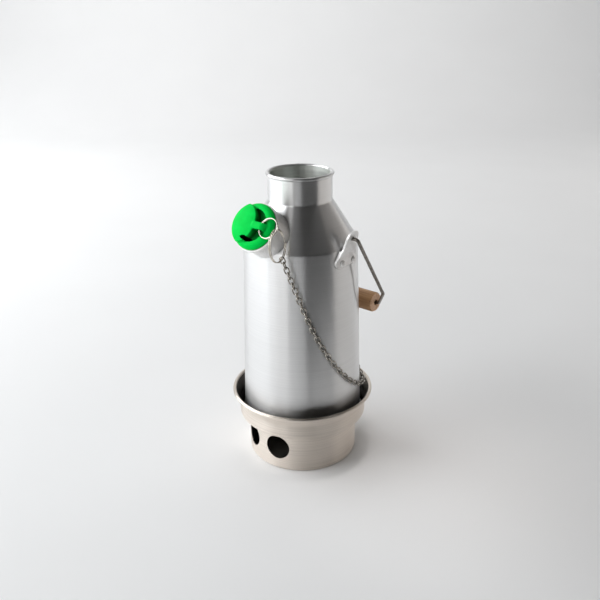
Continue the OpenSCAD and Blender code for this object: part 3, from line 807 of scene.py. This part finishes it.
def in_eye(face):
    """Whether a face lies in the whistle's outlet, where two round columns meet."""
    away = [math.hypot(face.center.x - x, face.center.y - y) for x, y in eye_centres]
    return max(away) < EYE_R + EYE_MARGIN


stopper = lathe("stopper_head", rounded([Vector(p) for p in stopper_path], stopper_bends), steps=128)
cut(stopper, pillar("pocket", POCKET_R, 0, POCKET_FLOOR, 128))

thumb = pillar("thumb_block", THUMB_ARC_R, THUMB_EDGE - THUMB_ARC_R, POCKET_FLOOR - SUNK, 192)
combine(thumb, "INTERSECT", pillar("thumb_outside", HEAD_R - THUMB_IN, 0, POCKET_FLOOR - 2 * SUNK, 160))
deselect()
bpy.ops.mesh.primitive_uv_sphere_add(
    radius=THUMB_CROWN_R, segments=192, ring_count=160,
    location=(THUMB_CROWN_X, 0, THUMB_TOP - THUMB_CROWN_R),
)
combine(thumb, "INTERSECT", named("thumb_crown"))

arm_middle = ((RING_HOLE_X + ARM_ROOT) / 2, 0, POCKET_FLOOR - SUNK + ARM_H / 2)
arm = block((RING_HOLE_X - ARM_ROOT, ARM_W, ARM_H), arm_middle)
to_arm_end = Matrix.Translation((RING_HOLE_X, 0, ARM_TOP - ARM_END_R)) @ QUARTER_X
combine(arm, "UNION", cylinder("arm_end", ARM_END_R, ARM_W, to_arm_end))
to_arm_crown = Matrix.Translation((0, 0, ARM_TOP - ARM_CROWN_R)) @ QUARTER_Y
combine(arm, "INTERSECT", cylinder("arm_crown", ARM_CROWN_R, ARM_CROWN_LEN, to_arm_crown))
combine(stopper, "UNION", thumb, arm)

to_bore = Matrix.Translation((0, 0, -WHISTLE_BORE_LEN / 2))
cut(stopper, cylinder("whistle_bore", WHISTLE_BORE_R, WHISTLE_BORE_LEN, to_bore))
to_chamber = Matrix.Translation((0, 0, CHAMBER_FOOT + CHAMBER_LEN / 2))
cut(stopper, cylinder("chamber", CHAMBER_R, CHAMBER_LEN, to_chamber))
passage_middle = (0, EYE_Y / 2, POCKET_FLOOR + PASSAGE_LIFT + EYE_H / 4)
cut(stopper, block((PASSAGE_W, -EYE_Y, EYE_H / 2), passage_middle))
eye_z = POCKET_FLOOR - EYE_DEPTH + COLUMN_H / 2
# One column is longer, so that the ends of the two don't lie in one plane
eye, eye_mate = [
    cylinder("eye", EYE_R, COLUMN_H + extra, Matrix.Translation((x, y, eye_z)), 160)
    for (x, y), extra in zip(eye_centres, (-1, 1))
]
combine(eye, "INTERSECT", eye_mate)
cut(stopper, eye)
to_ring_hole = Matrix.Translation((RING_HOLE_X, 0, RING_Z)) @ QUARTER_X
cut(stopper, cylinder("ring_hole", RING_HOLE_R, 2 * ARM_W, to_ring_hole, 48))
modify(stopper, "REMESH", mode="VOXEL", voxel_size=SKIN_VOXEL)
modify(stopper, "SMOOTH", factor=0.5, iterations=12)
coat(stopper, green, green_painted_shade)
# The faces inside the whistle's outlet take the green with painted shade.
second_finish(stopper, in_eye)
place(stopper, to_spout)
dress(stopper, "stopper", "stopper", angle=180)

# CAD nodes that stay, with their finishes
STAYING = {
    bracket_metal: ("left_bracket", "right_bracket", "chain_lug"),
    rivet_metal: ("left_bracket_rivets", "right_bracket_rivets", "lug_rivets"),
    wire_metal: ("lug_ring",),
    whistle_metal: ("whistle_sleeve", "inner_whistle_plate", "outer_whistle_plate"),
}
for finish, names in STAYING.items():
    for name in names:
        nodes[name].data.materials.clear()
        nodes[name].data.materials.append(finish)

# Camera, fitted to the photograph; its place in millimetres
PHOTO_PX = 600
FOCAL_PX = 745.52
SENSOR_W = 36
CAMERA_AT = Vector((431.375, -507.761, 439.093))
FORWARD = Vector((-0.5987, 0.701976, -0.385731))
RIGHT = Vector((0.764029, 0.645072, -0.011923))

cam_data = bpy.data.cameras.new("camera")
cam_data.sensor_width = SENSOR_W
cam_data.lens = FOCAL_PX / PHOTO_PX * SENSOR_W
cam_data.clip_start = 0.01
cam = bpy.data.objects.new("camera", cam_data)
bpy.context.scene.collection.objects.link(cam)
cam_turn = Matrix((RIGHT, RIGHT.cross(FORWARD), -FORWARD)).transposed().to_4x4()
cam.matrix_world = Matrix.Translation(CAMERA_AT * MM) @ cam_turn
bpy.context.scene.camera = cam

# Floor and cards, in metres
FLOOR_HALF = 4.0
SWEEP_BACK = 1.7
SWEEP_R = 0.8
SWEEP_TOP = 3.2

view_way = Vector((FORWARD.x, FORWARD.y, 0)).normalized()
side_way = Vector((RIGHT.x, RIGHT.y, 0)).normalized()
to_view = Matrix.Rotation(math.atan2(side_way.y, side_way.x), 4, "Z")


def around(right_m, back_m, up_m):
    """A place given as seen from the camera: right of the kettle, behind it, above the floor."""
    return side_way * right_m + view_way * back_m + Vector((0, 0, up_m))


def panel(name, finish, at, size, lean):
    """A flat sheet, square to the view and leaned back from the floor."""
    deselect()
    bpy.ops.mesh.primitive_plane_add(size=1)
    obj = named(name)
    leaned = Matrix.Rotation(math.radians(lean), 4, "X")
    place(obj, Matrix.Translation(at) @ to_view @ leaned @ Matrix.Diagonal((*size, 1, 1)))
    coat(obj, finish)
    return obj


sweep = panel("floor", white_paper, (0, 0, 0), (2 * FLOOR_HALF, 2 * FLOOR_HALF), 0)
edit()
pick(sweep, lambda co: co.dot(view_way) > 0)
bpy.ops.transform.translate(value=view_way * (SWEEP_BACK - FLOOR_HALF))
bpy.ops.mesh.select_mode(type="EDGE")
sweep_centre = view_way * SWEEP_BACK + Vector((0, 0, SWEEP_R))
bpy.ops.mesh.spin(steps=16, angle=-math.pi / 2, center=sweep_centre, axis=side_way)
bpy.ops.mesh.extrude_region_move(TRANSFORM_OT_translate={"value": (0, 0, SWEEP_TOP)})
leave()
smooth(sweep, 60)
cards = [
    panel("dark_card", black_card, around(0.63, -0.62, 0.003), (1.16, 0.7), 0),
    panel("dark_flag", black_card, around(1.0, -1.5, 1.3), (3.4, 2.6), 90),
]
for card in cards:
    # The metal mirrors the cards; the floor stays plain
    card.visible_camera = False
    card.visible_shadow = False
    card.visible_diffuse = False


# Light, with the spread of the floor's beam in radians
FLOOR_BEAM = 0.21


def area(name, at, target, size, power, color=(1, 1, 1)):
    data = bpy.data.lights.new(name, "AREA")
    data.shape = "RECTANGLE"
    data.size, data.size_y = size
    data.energy = power
    data.color = color
    lamp = bpy.data.objects.new(name, data)
    bpy.context.scene.collection.objects.link(lamp)
    lamp.matrix_world = Matrix.Translation(at) @ (target - at).to_track_quat("-Z", "Y").to_matrix().to_4x4()
    return lamp


area("key", around(-1.66, 0.22, 1.05), around(0, 0.1, 0.1), (2.6, 1.4), 49, (0.955, 0.98, 1.0))
area("front", around(-1.0, -1.5, 0.7), around(0, 0, 0.12), (1.7, 1.2), 10)
area("fill", around(1.3, 0.35, 0.27), around(0, 0.35, 0.1), (2.0, 0.5), 2.2, (1.0, 0.93, 0.86))
area("backdrop", around(-0.3, 0.9, 2.4), around(0.2, 2.5, 1.4), (2.6, 1.0), 29)
# A narrow beam lifts the shadow on the floor, and the metal doesn't mirror it
floor_lamp = area(
    "floor_fill", around(0.13, -0.06, 1.5), around(0.13, -0.06, 0), (0.2, 0.2), 0.036, (1.0, 0.95, 0.93)
)
floor_lamp.data.spread = FLOOR_BEAM
floor_lamp.visible_glossy = False

# World: a dim room for light and reflections, a pale wall where the camera sees past the floor
ROOM_COLOUR = (0.10, 0.097, 0.094, 1)
WALL_COLOUR = (0.8, 0.8, 0.8, 1)

world = bpy.data.worlds.new("world")
world.use_nodes = True
world_tree = world.node_tree
room = world_tree.nodes["Background"]
room.inputs["Color"].default_value = ROOM_COLOUR
wall = node(world_tree, "ShaderNodeBackground", Color=WALL_COLOUR)
seen = node(world_tree, "ShaderNodeLightPath")
either = node(world_tree, "ShaderNodeMixShader")
world_tree.links.new(seen.outputs["Is Camera Ray"], either.inputs["Fac"])
world_tree.links.new(room.outputs["Background"], either.inputs[1])
world_tree.links.new(wall.outputs["Background"], either.inputs[2])
world_tree.links.new(either.outputs["Shader"], world_tree.nodes["World Output"].inputs["Surface"])
bpy.context.scene.world = world
bpy.context.scene.view_settings.view_transform = "Standard"
